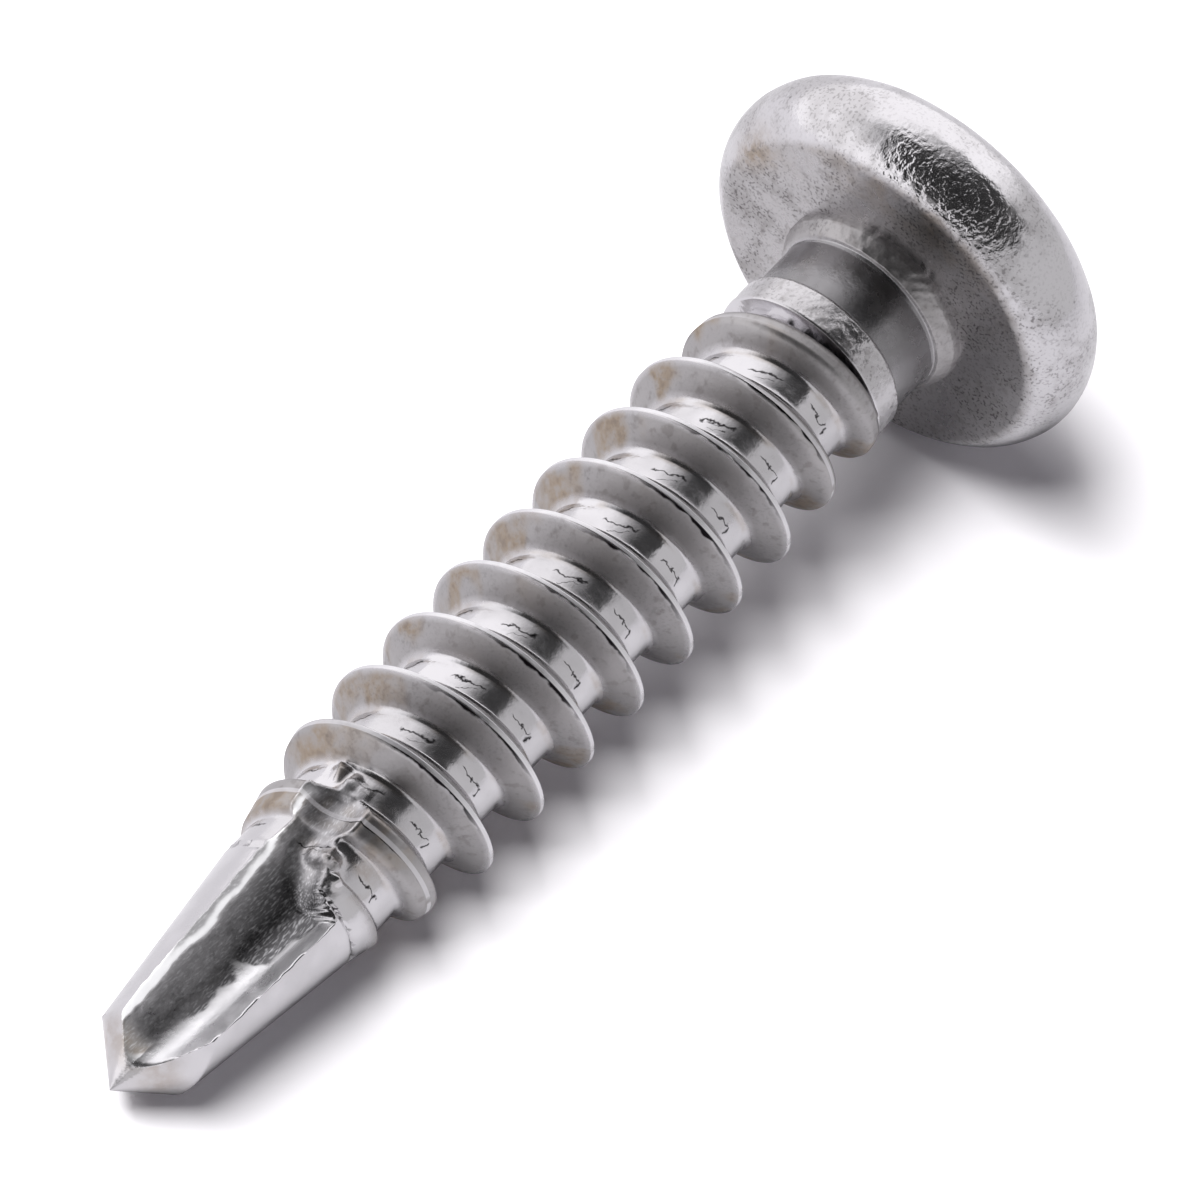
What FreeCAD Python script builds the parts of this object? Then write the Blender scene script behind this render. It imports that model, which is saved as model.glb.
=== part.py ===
import FreeCAD, Part

import math
import os

from FreeCAD import Vector

# Self drilling tapping screw with a pan head, size ST4.8 x 25, in millimetres.
# It is built upright: the axis is Z, the bearing face under the head is at z = 0
# and the drill point hangs below. Angles about the axis are measured from +X,
# the side that faces up once the screw lies on a table.

# Head: a pan head with a crowned top, upset on the wire in one blow.
headDiameter = 9.14
headHeight = 3.3
headSideRadius = 1.26
headSideHeight = 1.12

# Cross recess in the crown, for a number 2 driver.
recessSpan = 4.9
recessDepth = 2.7
recessWingWidth = 1.0
recessFootSpan = 1.9
recessTipDepth = 0.45

# Neck: a short collar that runs out from the head, then the plain shank.
collarDiameter = 4.42
collarFootDiameter = 4.04
collarHeight = 0.52
collarRim = 0.15
shankDiameter = 3.84
shankLength = 1.86

# Thread: rolled, right-handed, with a flank angle of 60 degrees.
threadDiameter = 4.67
threadPitch = 1.6
threadRootDiameter = 3.21
threadCrestWidth = 0.09
threadFlankAngle = 60.0
threadStartAngle = -10.5

# The thread's two ends: the band that the rolling dies leave beside the shank,
# the flattened last turn there, and the turns that fade in behind the drill point.
bandDiameter = 4.06
bandLength = 0.7
lastTurnDrop = 0.085
lastTurnEndDrop = 0.235
lastTurnLength = 2.0
lastTurnBlend = 0.6
firstTurnsLength = 3.1

# Drill point: forged flat between two dies, with two straight flutes.
# Each flute is a notch with one wall on the axis plane of the cutting lips.
screwLength = 24.33
drillDiameter = 4.0
drillLength = 5.4
pointAngle = 91.0
drillShoulder = 0.3
marginAngle = 58.5
pinchThicknessTop = 3.2
pinchThicknessCorner = 2.34
pinchArcRadius = 2.1
pinchTurn = -14.0
fluteLength = 7.65
fluteFloorTop = 0.5
fluteFloorTip = -0.05
fluteFloorTilt = 14.0
fluteFloorReach = 1.45
fluteWallOffset = 0.03
fluteRunout = 2.6
fluteRunoutReach = 1.05
fluteRunoutRise = 0.3
fluteCornerRadius = 0.8
fluteRunoutSteps = 5

# How the screw lies: how far it is turned about its axis from the upright model's +X.
restTurn = -15.0

# How far a cutting or joining form runs past the surface that it meets, how deep the
# thread's ridge is sunk in its core, and how far its envelope clears the crest.
overrun = 0.6
ridgeSink = 0.2
crestClearance = 0.17
fadeSink = 0.1

headRadius = headDiameter / 2
shankRadius = shankDiameter / 2
rootRadius = threadRootDiameter / 2
threadRadius = threadDiameter / 2
bandRadius = bandDiameter / 2
drillRadius = drillDiameter / 2
pointHeight = drillRadius / math.tan(math.radians(pointAngle / 2))
cornerZ = -screwLength + pointHeight
drillTopZ = -screwLength + drillLength
bandTopZ = -shankLength
bandFootZ = bandTopZ - bandLength


def revolved(edges):
    """Solid turned about the axis from a closed outline in the XZ plane."""
    return Part.Face(Part.Wire(edges)).revolve(Vector(0, 0, 0), Vector(0, 0, 1), 360)


def outline(points):
    """Straight edges through points given as radius and height, closed along the axis."""
    corners = [Vector(radius, 0, z) for radius, z in points]
    return [Part.LineSegment(a, b).toShape() for a, b in zip(corners, corners[1:] + corners[:1])]


def makeHead():
    """Pan head: one side arc that starts at the bearing face and runs into the crown's arc."""
    sideCentre = Vector(headRadius - headSideRadius, 0, headSideHeight)
    reach = sideCentre.x
    rise = headHeight - headSideHeight
    # The crown's arc is centred on the axis and touches the side arc from outside.
    crownRadius = (reach ** 2 + rise ** 2 - headSideRadius ** 2) / (2 * (rise - headSideRadius))
    crownCentre = Vector(0, 0, headHeight - crownRadius)
    outward = (sideCentre - crownCentre).normalize()
    joint = sideCentre + outward * headSideRadius
    crownMiddle = crownCentre + (Vector(0, 0, 1) + outward).normalize() * crownRadius
    bearingEdge = Vector(reach + math.sqrt(headSideRadius ** 2 - headSideHeight ** 2), 0, 0)
    top = Vector(0, 0, headHeight)
    foot = Vector(0, 0, 0)
    return revolved([
        Part.Arc(top, crownMiddle, joint).toShape(),
        Part.Arc(joint, sideCentre + Vector(headSideRadius, 0, 0), bearingEdge).toShape(),
        Part.LineSegment(bearingEdge, foot).toShape(),
        Part.LineSegment(foot, top).toShape(),
    ])


def makeRecess():
    """Cross recess: two tapered wings that cross, with a small cone at their foot."""
    top = headHeight + overrun
    foot = headHeight - recessDepth
    taper = (recessSpan - recessFootSpan) / 2 / recessDepth
    topHalf = recessSpan / 2 + taper * overrun
    footHalf = recessFootSpan / 2
    wings = []
    for turn in (0, 90):
        corners = [Vector(-topHalf, 0, top), Vector(topHalf, 0, top), Vector(footHalf, 0, foot),
                   Vector(-footHalf, 0, foot)]
        face = Part.Face(Part.makePolygon(corners + corners[:1]))
        wing = face.extrude(Vector(0, recessWingWidth, 0))
        wing.translate(Vector(0, -recessWingWidth / 2, 0))
        wing.rotate(Vector(0, 0, 0), Vector(0, 0, 1), turn)
        wings.append(wing)
    core = Part.makeCone(recessWingWidth / 2, footHalf + taper * (recessDepth + overrun) * 0.75,
                         recessDepth + overrun, Vector(0, 0, foot))
    tip = Part.makeCone(0, footHalf * 0.8, recessTipDepth, Vector(0, 0, foot - recessTipDepth))
    return wings[0].multiFuse([wings[1], core, tip])


def makeNeck():
    """Collar, plain shank and rolling band as one turned body."""
    return revolved(outline([
        (0, overrun),
        (collarDiameter / 2, overrun),
        (collarDiameter / 2, -collarRim),
        (collarFootDiameter / 2, -collarHeight),
        (shankRadius, -collarHeight),
        (shankRadius, bandTopZ),
        (bandRadius, bandTopZ),
        (bandRadius, bandFootZ),
        (0, bandFootZ),
    ]))


def makeCore():
    """Thread core, from inside the band down to where the drill point begins."""
    return revolved(outline([
        (0, bandFootZ + overrun),
        (rootRadius, bandFootZ + overrun),
        (rootRadius, drillTopZ),
        (rootRadius - overrun, drillTopZ - overrun),
        (0, drillTopZ - overrun),
    ]))


def makeThread():
    """Thread ridge: a trapezium swept along a helix, kept inside a turned envelope."""
    slope = math.tan(math.radians(threadFlankAngle / 2))
    sunkRadius = rootRadius - ridgeSink
    topHalf = threadCrestWidth / 2
    footHalf = topHalf + (threadRadius - sunkRadius) * slope
    turnsTop = math.floor(-bandTopZ / threadPitch)
    turnsFoot = math.ceil(1 - drillTopZ / threadPitch)
    path = Part.makeHelix(threadPitch, (turnsFoot - turnsTop) * threadPitch, threadRadius)
    corners = [Vector(sunkRadius, 0, -footHalf), Vector(threadRadius, 0, -topHalf),
               Vector(threadRadius, 0, topHalf), Vector(sunkRadius, 0, footHalf)]
    profile = Part.makePolygon(corners + corners[:1])
    ridge = Part.Wire(path.Edges).makePipeShell([profile], True, True)
    ridge.rotate(Vector(0, 0, 0), Vector(0, 0, 1), threadStartAngle)
    ridge.translate(Vector(0, 0, -turnsFoot * threadPitch))
    lastFootZ = bandFootZ - lastTurnLength
    clearRadius = threadRadius + crestClearance
    fadeSlope = firstTurnsLength / (threadRadius - rootRadius)
    envelope = revolved(outline([
        (0, bandFootZ),
        (threadRadius - lastTurnEndDrop, bandFootZ),
        (threadRadius - lastTurnDrop, lastFootZ),
        (clearRadius, lastFootZ - lastTurnBlend),
        (clearRadius, drillTopZ + fadeSlope * (clearRadius - rootRadius)),
        (rootRadius - fadeSink, drillTopZ - fadeSink),
        (0, drillTopZ - fadeSink),
    ]))
    return ridge.common(envelope)


def makeDrillBlank():
    """Forged point before its flutes: a lens between two die surfaces, pointed as a cone."""
    blank = revolved(outline([
        (0, drillTopZ + overrun),
        (rootRadius - ridgeSink, drillTopZ + overrun),
        (rootRadius - fadeSink, drillTopZ),
        (drillRadius, drillTopZ - drillShoulder),
        (drillRadius, cornerZ),
        (0, -screwLength),
    ]))
    thicknessSlope = (pinchThicknessTop - pinchThicknessCorner) / 2 / (drillTopZ - cornerZ)
    startZ = drillTopZ + 2 * overrun
    startHalf = pinchThicknessTop / 2 + thicknessSlope * 2 * overrun
    for side in (1, -1):
        base = Vector(side * (startHalf - pinchArcRadius), 0, startZ)
        direction = Vector(-side * thicknessSlope, 0, -1)
        die = Part.makeCylinder(pinchArcRadius, drillLength * 1.5, base, direction)
        die.rotate(Vector(0, 0, 0), Vector(0, 0, 1), pinchTurn)
        blank = blank.common(die)
    return blank


def fluteSection(wall, floor, z):
    """Notch outline across the axis, open to the outside: a wall, a rounded corner and a floor that drops away."""
    outside = threadRadius + overrun + fluteCornerRadius
    tilt = math.radians(fluteFloorTilt)
    drop = math.tan(tilt)
    corner = Vector(wall, floor + drop * (fluteFloorReach - wall), z)
    tangent = fluteCornerRadius / math.tan((math.pi / 2 + tilt) / 2)
    centre = Vector(wall + fluteCornerRadius, corner.y + tangent, z)
    a = Vector(wall, outside, z)
    b = Vector(wall, centre.y, z)
    c = centre + (corner - centre).normalize() * fluteCornerRadius
    d = corner + Vector(math.cos(tilt), -math.sin(tilt), 0) * tangent
    e = Vector(outside, corner.y - drop * (outside - wall), z)
    f = Vector(outside, outside, z)
    return Part.Wire([
        Part.LineSegment(a, b).toShape(),
        Part.Arc(b, c, d).toShape(),
        Part.LineSegment(d, e).toShape(),
        Part.LineSegment(e, f).toShape(),
        Part.LineSegment(f, a).toShape(),
    ])


def makeFlute():
    """One flute: the notch at stations along the axis, its wall sweeping out at the top."""
    topZ = -screwLength + fluteLength
    runoutZ = topZ - fluteRunout
    sections = [fluteSection(fluteWallOffset, fluteFloorTip, -screwLength - overrun)]
    for step in range(fluteRunoutSteps + 1):
        share = step / fluteRunoutSteps
        wall = fluteWallOffset + fluteRunoutReach * math.sqrt(1 - (1 - share) ** 2)
        floor = fluteFloorTop + fluteRunoutRise * share ** 2
        sections.append(fluteSection(wall, floor, runoutZ + fluteRunout * share))
    return Part.makeLoft(sections, True, True)


def restSlope(shape):
    """Slope of the line that the screw rests on, from the lowest points along its length."""
    points = sorted((point.z, point.x) for point in shape.tessellate(0.02)[0])
    middle = shape.CenterOfMass.z
    hull = []
    for z, x in points:
        while len(hull) > 1:
            (z0, x0), (z1, x1) = hull[-2:]
            if (z1 - z0) * (x - x0) > (x1 - x0) * (z - z0):
                break
            hull.pop()
        hull.append((z, x))
    for (z0, x0), (z1, x1) in zip(hull, hull[1:]):
        if z0 <= middle <= z1:
            return (x1 - x0) / (z1 - z0)


def layDown(shape):
    """Lay the screw on its head's rim and its thread, head towards +X, centred on the table."""
    shape.rotate(Vector(0, 0, 0), Vector(0, 0, 1), restTurn)
    slope = restSlope(shape)
    shape.rotate(Vector(0, 0, 0), Vector(1, 0, 1), 180)
    shape.rotate(Vector(0, 0, 0), Vector(0, 1, 0), math.degrees(math.atan(slope)))
    points = shape.tessellate(0.01)[0]
    middleX = (min(p.x for p in points) + max(p.x for p in points)) / 2
    middleY = (min(p.y for p in points) + max(p.y for p in points)) / 2
    offset = Vector(-middleX, -middleY, -min(p.z for p in points))
    shape.translate(offset)
    print("rest tilt", round(-math.degrees(math.atan(slope)), 3), "bearing face centre", offset)


def makeScrew():
    """The whole screw, upright."""
    flute = makeFlute()
    opposite = flute.copy()
    opposite.rotate(Vector(0, 0, 0), Vector(0, 0, 1), 180)
    body = makeCore().fuse(makeThread())
    drill = makeDrillBlank()
    for shape in (drill, flute, opposite):
        shape.rotate(Vector(0, 0, 0), Vector(0, 0, 1), marginAngle - 90)
    body = body.fuse(drill).cut(flute).cut(opposite)
    body = body.fuse(makeNeck()).fuse(makeHead()).cut(makeRecess())
    return body.Solids[0]


if __name__ == "__main__":
    os.makedirs("parts", exist_ok=True)
    screw = makeScrew()
    layDown(screw)
    print("screw", screw.isValid(), "solids", len(screw.Solids), "volume", round(screw.Volume, 3))
    screw.exportStep("parts/screw.step")
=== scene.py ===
import math

import bpy
import numpy as np
from mathutils import Matrix, Vector


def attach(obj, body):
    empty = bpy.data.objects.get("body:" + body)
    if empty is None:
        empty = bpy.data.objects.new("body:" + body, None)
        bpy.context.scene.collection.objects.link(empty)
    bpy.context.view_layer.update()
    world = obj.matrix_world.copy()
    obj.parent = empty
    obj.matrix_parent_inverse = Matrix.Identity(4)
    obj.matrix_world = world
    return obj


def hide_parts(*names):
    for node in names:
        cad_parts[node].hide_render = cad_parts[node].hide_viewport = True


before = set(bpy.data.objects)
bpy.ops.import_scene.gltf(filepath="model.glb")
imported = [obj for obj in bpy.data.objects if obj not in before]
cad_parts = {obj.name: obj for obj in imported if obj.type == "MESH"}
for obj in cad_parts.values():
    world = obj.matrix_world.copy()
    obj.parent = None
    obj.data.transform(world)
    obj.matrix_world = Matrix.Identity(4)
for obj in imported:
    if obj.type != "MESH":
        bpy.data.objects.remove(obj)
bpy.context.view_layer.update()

# Shapes are worked out upright in mm: z runs up the screw's axis from the bearing face under the
# head, so the shaft has negative heights, and angles turn about that axis.
pose = {
    "bearingFace": (0.010402314, 0.0, 0.004385474),     # metres, where the face's centre lies
    "tilt": 7.869,               # degrees that the head end is lifted
    "turn": -15.0,               # degrees about the screw's own axis
    "metresPerMm": 0.001,
}


# Soft random bumps of level one: a sum of cosines along random directions, with random phases and
# wave lengths round the given length.
def ripple(points, length, seed, waves=24):
    rng = np.random.default_rng(seed)
    direction = rng.normal(size=(waves, 3))
    size = np.linalg.norm(direction, axis=1)[:, None]
    direction *= 2 * np.pi / length * rng.uniform(0.6, 1.5, (waves, 1)) / size
    phase = rng.uniform(0, 2 * np.pi, waves)
    return np.cos(points @ direction.T + phase).sum(-1) / math.sqrt(waves / 2)


# Smooth step from 0 at low to 1 at high: three times the share's square less twice its cube.
def ease(value, low, high):
    share = np.clip((value - low) / (high - low), 0, 1)
    return share * share * (3 - 2 * share)


# One bump: falls off as a bell on both sides of its middle.
def bell(value, middle, reach):
    return np.exp(-((value - middle) / reach) ** 2)


# Upright mm to metres on the table: turned about the axis, laid on its side, tilted and moved.
def lieDown(points):
    turn, tilt = math.radians(pose["turn"]), math.radians(pose["tilt"])
    x = points[..., 0] * math.cos(turn) - points[..., 1] * math.sin(turn)
    y = points[..., 0] * math.sin(turn) + points[..., 1] * math.cos(turn)
    z = points[..., 2]
    along = z * math.cos(tilt) - x * math.sin(tilt)
    above = z * math.sin(tilt) + x * math.cos(tilt)
    return np.stack([along, -y, above], -1) * pose["metresPerMm"] + np.array(pose["bearingFace"])


# Points from radius, angle in radians and height.
def around(radius, angle, z):
    return np.stack([radius * np.cos(angle), radius * np.sin(angle), z + 0 * radius], -1)


# Mesh object from points in mm and whole arrays of four and three sided faces.
def buildMesh(name, points, quads, triangles):
    mesh = bpy.data.meshes.new(name)
    mesh.vertices.add(len(points))
    mesh.vertices.foreach_set("co", lieDown(points).astype(np.float32).ravel())
    corners = np.concatenate([quads.ravel(), triangles.ravel()]).astype(np.int32)
    starts = np.concatenate([np.arange(len(quads)) * 4, len(quads) * 4 + np.arange(len(triangles)) * 3])
    mesh.loops.add(len(corners))
    mesh.loops.foreach_set("vertex_index", corners)
    mesh.polygons.add(len(starts))
    mesh.polygons.foreach_set("loop_start", starts.astype(np.int32))
    mesh.update(calc_edges=True)
    mesh.polygons.foreach_set("use_smooth", np.ones(len(starts), dtype=bool))
    mesh.validate()
    obj = bpy.data.objects.new(name, mesh)
    bpy.context.collection.objects.link(obj)
    return obj


# Fans from the first and the last ring of a turned grid to the two poles that follow its points.
def poleFans(rows, columns):
    ring = np.arange(columns)
    after = (ring + 1) % columns
    last = (rows - 1) * columns
    return np.concatenate([
        np.stack([after, ring, np.full(columns, rows * columns)], -1),
        np.stack([last + ring, last + after, np.full(columns, rows * columns + 1)], -1),
    ])


# Faces of a closed turned grid: four sided ones between rings, and the fans at both poles.
def turnedFaces(rows, columns):
    ring = np.arange(columns)
    after = (ring + 1) % columns
    start = np.arange(rows - 1)[:, None] * columns
    quads = np.stack([start + ring, start + after, start + columns + after, start + columns + ring], -1)
    return quads.reshape(-1, 4), poleFans(rows, columns)


# One number on each vertex, read by the steel under the same name; the two poles get none.
def addValues(obj, values):
    for name, value in values.items():
        layer = obj.data.attributes.new(name, "FLOAT", "POINT")
        layer.data.foreach_set("value", np.append(value.ravel(), [0, 0]).astype(np.float32))


# the rolled thread, in mm
thread = {
    "radius": 2.335,
    "root": 1.605,
    "pitch": 1.6,
    "crest": 0.045,              # half the crest's width
    "flank": 30.0,               # degrees from square
    "fillet": 0.05,
    "start": -10.5,              # degrees
    "foot": -18.93,              # where the drill point takes over
    "fade": 3.1,                 # length over which it grows from nothing
    "lastTurn": 2.0,             # length of the lower last turn
    "lastDrop": (0.235, 0.085),  # how much lower it is at the band and at its start
    "lastBlend": 0.6,
    "overCrest": 0.17,           # how far the envelope clears the crest
    "bandFoot": -2.56,           # where the band above it begins
}


# Ridge: the radius falls from the crest's edge by distance over the flank's slope, is cut by an
# envelope along the axis, and meets the root with a small parabola.
def threadRadius(angle, z):
    t = thread
    across = z / t["pitch"] - (np.degrees(angle) - t["start"]) / 360
    away = t["pitch"] * np.abs(across - np.round(across))
    slope = math.tan(math.radians(t["flank"]))
    ridge = t["radius"] - np.clip(away - t["crest"], 0, None) / slope
    lastFoot = t["bandFoot"] - t["lastTurn"]
    envelope = np.interp(z, [
        t["foot"], t["foot"] + t["fade"], lastFoot - t["lastBlend"], lastFoot, t["bandFoot"],
    ], [
        t["root"], t["radius"], t["radius"] + t["overCrest"],
        t["radius"] - t["lastDrop"][1], t["radius"] - t["lastDrop"][0],
    ])
    ridge = np.minimum(ridge, envelope)
    soft = t["fillet"]
    lift = np.clip(soft + t["root"] - ridge, 0, None) * np.clip(ridge - t["root"] + soft, 0, None)
    return np.maximum(ridge, t["root"]) + lift / (4 * soft)


# the forged drill point, in mm
drill = {
    "length": 24.33,             # from the bearing face to the tip
    "radius": 2.0,
    "pointAngle": 91.0,          # degrees
    "tipRadius": 0.002,
    "shoulder": 0.3,             # height of the step up to the thread's root
    "sunk": 0.1,                 # how deep the step ends in the root
    "margin": 58.5,              # degrees, the first flute's wall
    "thickness": (3.2, 2.34),    # across the lands, at the top and at the corners
    "dieRadius": 2.1,
    "dieTurn": -14.0,            # degrees
    "fluteTop": -16.68,
    "runout": 2.6,
    "floor": (0.55, -0.12),      # height of the flute's floor at its top and beyond the tip
    "floorEnd": 0.6,             # how far beyond
    "floorTilt": 18.0,           # degrees
    "floorReach": 1.45,
    "wall": 0.03,
    "reach": 1.05,               # how far the wall moves out along the run-out
    "rise": 0.3,                 # how far the floor rises there
    "corner": 0.8,
    "rim": 0.07,                 # height of the burr along the flutes' edges
    "rimReach": (0.20, 0.08),    # its reach into the flute and over the land
    "rimStart": (0.5, 1.5),      # from the tip
    "ragged": 0.004,
    "tear": 0.1,                 # share of the burr's height that varies
    "lumps": [                   # degrees, z, reach round, reach along, height
        (24, -18.42, 0.30, 0.16, 0.30),
        (40, -18.60, 0.14, 0.10, 0.12),
        (-11, -16.62, 0.16, 0.13, 0.16),
        (2, -16.75, 0.10, 0.16, 0.12),
        (70, -19.00, 0.22, 0.07, 0.06),
    ],
    "lumpTear": 0.25,
    "nowhere": 99.0,             # radius that stands for no flute at all
}


# Angle from square to the nearer flute's wall, from 0 to half a turn.
def fluteAngle(angle):
    return np.mod(angle - math.radians(drill["margin"] - 90), math.pi)


# Where a ray from the axis enters the flute: the later of its crossings with the wall and with the
# tilted floor, or with the round corner between them.
def fluteRadius(angle, z):
    d = drill
    cos, sin = np.cos(fluteAngle(angle)), np.sin(fluteAngle(angle))
    runoutFoot = d["fluteTop"] - d["runout"]
    share = np.clip((z - runoutFoot) / d["runout"], 0, 1)
    wall = d["wall"] + d["reach"] * np.sqrt(1 - (1 - share) ** 2)
    bed = np.interp(z, [-d["length"] - d["floorEnd"], runoutFoot], d["floor"][::-1])
    bed = bed + d["rise"] * share ** 2
    tilt = math.radians(d["floorTilt"])
    drop = math.tan(tilt)
    top = bed + drop * d["floorReach"]
    inside = (cos > 1e-4) & (sin + drop * cos > 1e-4)
    cosSafe, fall = np.where(inside, cos, 1), np.where(inside, sin + drop * cos, 1)
    square = np.maximum(wall / cosSafe, top / fall)
    corner = d["corner"]
    tangent = corner / math.tan((math.pi / 2 + tilt) / 2)
    centreX, centreY = wall + corner, top - drop * wall + tangent
    along = centreX * cos + centreY * sin
    reach = along ** 2 - centreX ** 2 - centreY ** 2 + corner ** 2
    curved = along - np.sqrt(np.clip(reach, 0, None))
    inCorner = (square * sin < centreY) & (square * cos < wall + tangent * math.cos(tilt)) & (reach > 0)
    entry = np.where(inCorner, np.maximum(curved, square), square)
    return np.where(inside & (z < d["fluteTop"]), entry, d["nowhere"])


# Point before its flutes: the least of a lens between two die arcs, the point's cone and the step
# up to the thread.
def drillRadius(angle, z):
    d = drill
    slope = 1 / math.tan(math.radians(d["pointAngle"] / 2))
    cornerZ = d["radius"] * slope - d["length"]
    thickTop, thickLow = d["thickness"]
    half = thickLow / 2 + (thickTop - thickLow) / 2 * (z - cornerZ) / (thread["foot"] - cornerZ)
    offset = half - d["dieRadius"]
    local = angle - math.radians(d["margin"] - 90 + d["dieTurn"])
    root = np.sqrt(d["dieRadius"] ** 2 - (offset * np.sin(local)) ** 2)
    lens = np.minimum(root + offset * np.cos(local), root - offset * np.cos(local))
    cone = np.clip(z + d["length"], d["tipRadius"], None) / slope
    shoulder = np.interp(z, [thread["foot"] - d["shoulder"], thread["foot"]],
                         [d["radius"], thread["root"] - d["sunk"]])
    shoulder = np.where(z > thread["foot"], 0, shoulder)
    return np.minimum(np.minimum(lens, cone), shoulder)


# The whole shaft: thread or point, less the flutes, plus a bell shaped burr along the line where
# flute and body meet, plus rounded lumps of torn steel at each flute's run-out.
def shaftRadius(angle, z):
    d = drill
    body = np.where(z > thread["foot"], threadRadius(angle, z), drillRadius(angle, z))
    inNeck = ease(z, thread["bandFoot"] - 0.01, thread["bandFoot"] + 0.02)
    middle = around(shaftMesh["sunk"], angle, z)
    body = body * (1 - inNeck) + np.minimum(body, shaftMesh["sunk"]) * inNeck
    torn = ripple(middle, 0.35, 41) + 0.6 * ripple(middle, 0.12, 42)
    cut = fluteRadius(angle, z)
    gap = body - cut
    reach = np.where(gap > 0, d["rimReach"][0], d["rimReach"][1])
    near = bell(gap, 0, reach) * ease(z, d["rimStart"][0] - d["length"], d["rimStart"][1] - d["length"])
    radius = np.minimum(body, cut) + near * (d["rim"] * (1 + d["tear"] * torn) + d["ragged"] * torn)
    for turn, height, reachRound, reachAlong, rise in d["lumps"]:
        for flute in (0, 180):
            away = np.radians(np.mod(np.degrees(angle) - turn - flute + 180, 360) - 180) * shaftMesh["sunk"]
            lump = np.exp(-((away / reachRound) ** 2 + ((z - height) / reachAlong) ** 2) ** 1.5)
            radius = radius + rise * lump * (1 + d["lumpTear"] * torn)
    return radius


# the marks on the shaft: mm, except where degrees are named
marks = {
    "turnFrom": -80,                     # degrees where the marks start, to repeat each half turn
    "clear": (2, 4),                     # degrees that fold lines keep off that start
    "fluteSkin": 0.06,                   # how near the flute's surface is in the flute
    "rolledFrom": (0.3, 0.5),            # above the thread's foot
    "rootTo": (0.02, 0.08),              # above the root
    "flankFrom": (0.03, 0.14),           # above the root
    "flankTo": (0.05, 0.01),             # below the crest
    "crestFrom": (3.1, 3.5),             # below the bearing face, beyond which the crests' painted highlight and dark reflection come in
    "stainAt": (-45, 38),                # degrees, middle and reach of the brown flank
    "footAt": (0.30, 0.05),              # from the root's middle, the stain along the flank's foot
    "tornAt": (-17.7, 0.9),              # z and reach of the stained run-out
    "tornTurn": (-25, 0, 50, 75),        # degrees where it begins and ends
    "tipBrown": (0.7, 0.3),              # from the tip
    "dull": (0.85, 0.06),                # on the flanks and elsewhere
    "chipAt": (-20.95, 0.16, 0.40),      # z, reach and depth of the chip on the flute's lip
    "spotAt": (-23.55, 0.22),            # z and reach of the brown spot in the flute
    "spotOff": 0.3,                      # from the wall
    "cornerUp": (0.5, 0.8),              # height up the wall where painted shade darkens the flute's corner
    "cornerFrom": (18.6, 19.2),          # below the bearing face, beyond which the corner's painted shade comes in
    "shadeAt": (82, 118, 135, 165),      # degrees, where the painted shade on the lower land begins and ends
    "bandFrom": (17.3, 17.8),            # below the bearing face
    "bandWeak": (-22.3, -21.2),          # z where the band starts to fade across
    "bandTurn": 0.9,                     # radians, the furthest round that it reaches
    "stripFrom": (19.1, 19.4),           # below the bearing face
    "stripWide": 0.75,                   # furthest from the wall
    "band": [                            # z, and distance from the wall where the bright band begins
        (-23.9, 0.42), (-23.5, 0.83), (-23.0, 1.03), (-21.9, 1.10), (-20.65, 1.17), (-18.4, 1.49),
        (-17.6, 1.62),
    ],
    "lip": [                             # z, and height up the wall where its bright strip begins
        (-23.8, 0.40), (-23.1, 0.54), (-22.13, 0.73), (-21.3, 0.91), (-20.6, 1.22), (-19.84, 1.37),
        (-19.39, 1.47), (-19.0, 1.6),
    ],
}
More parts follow.
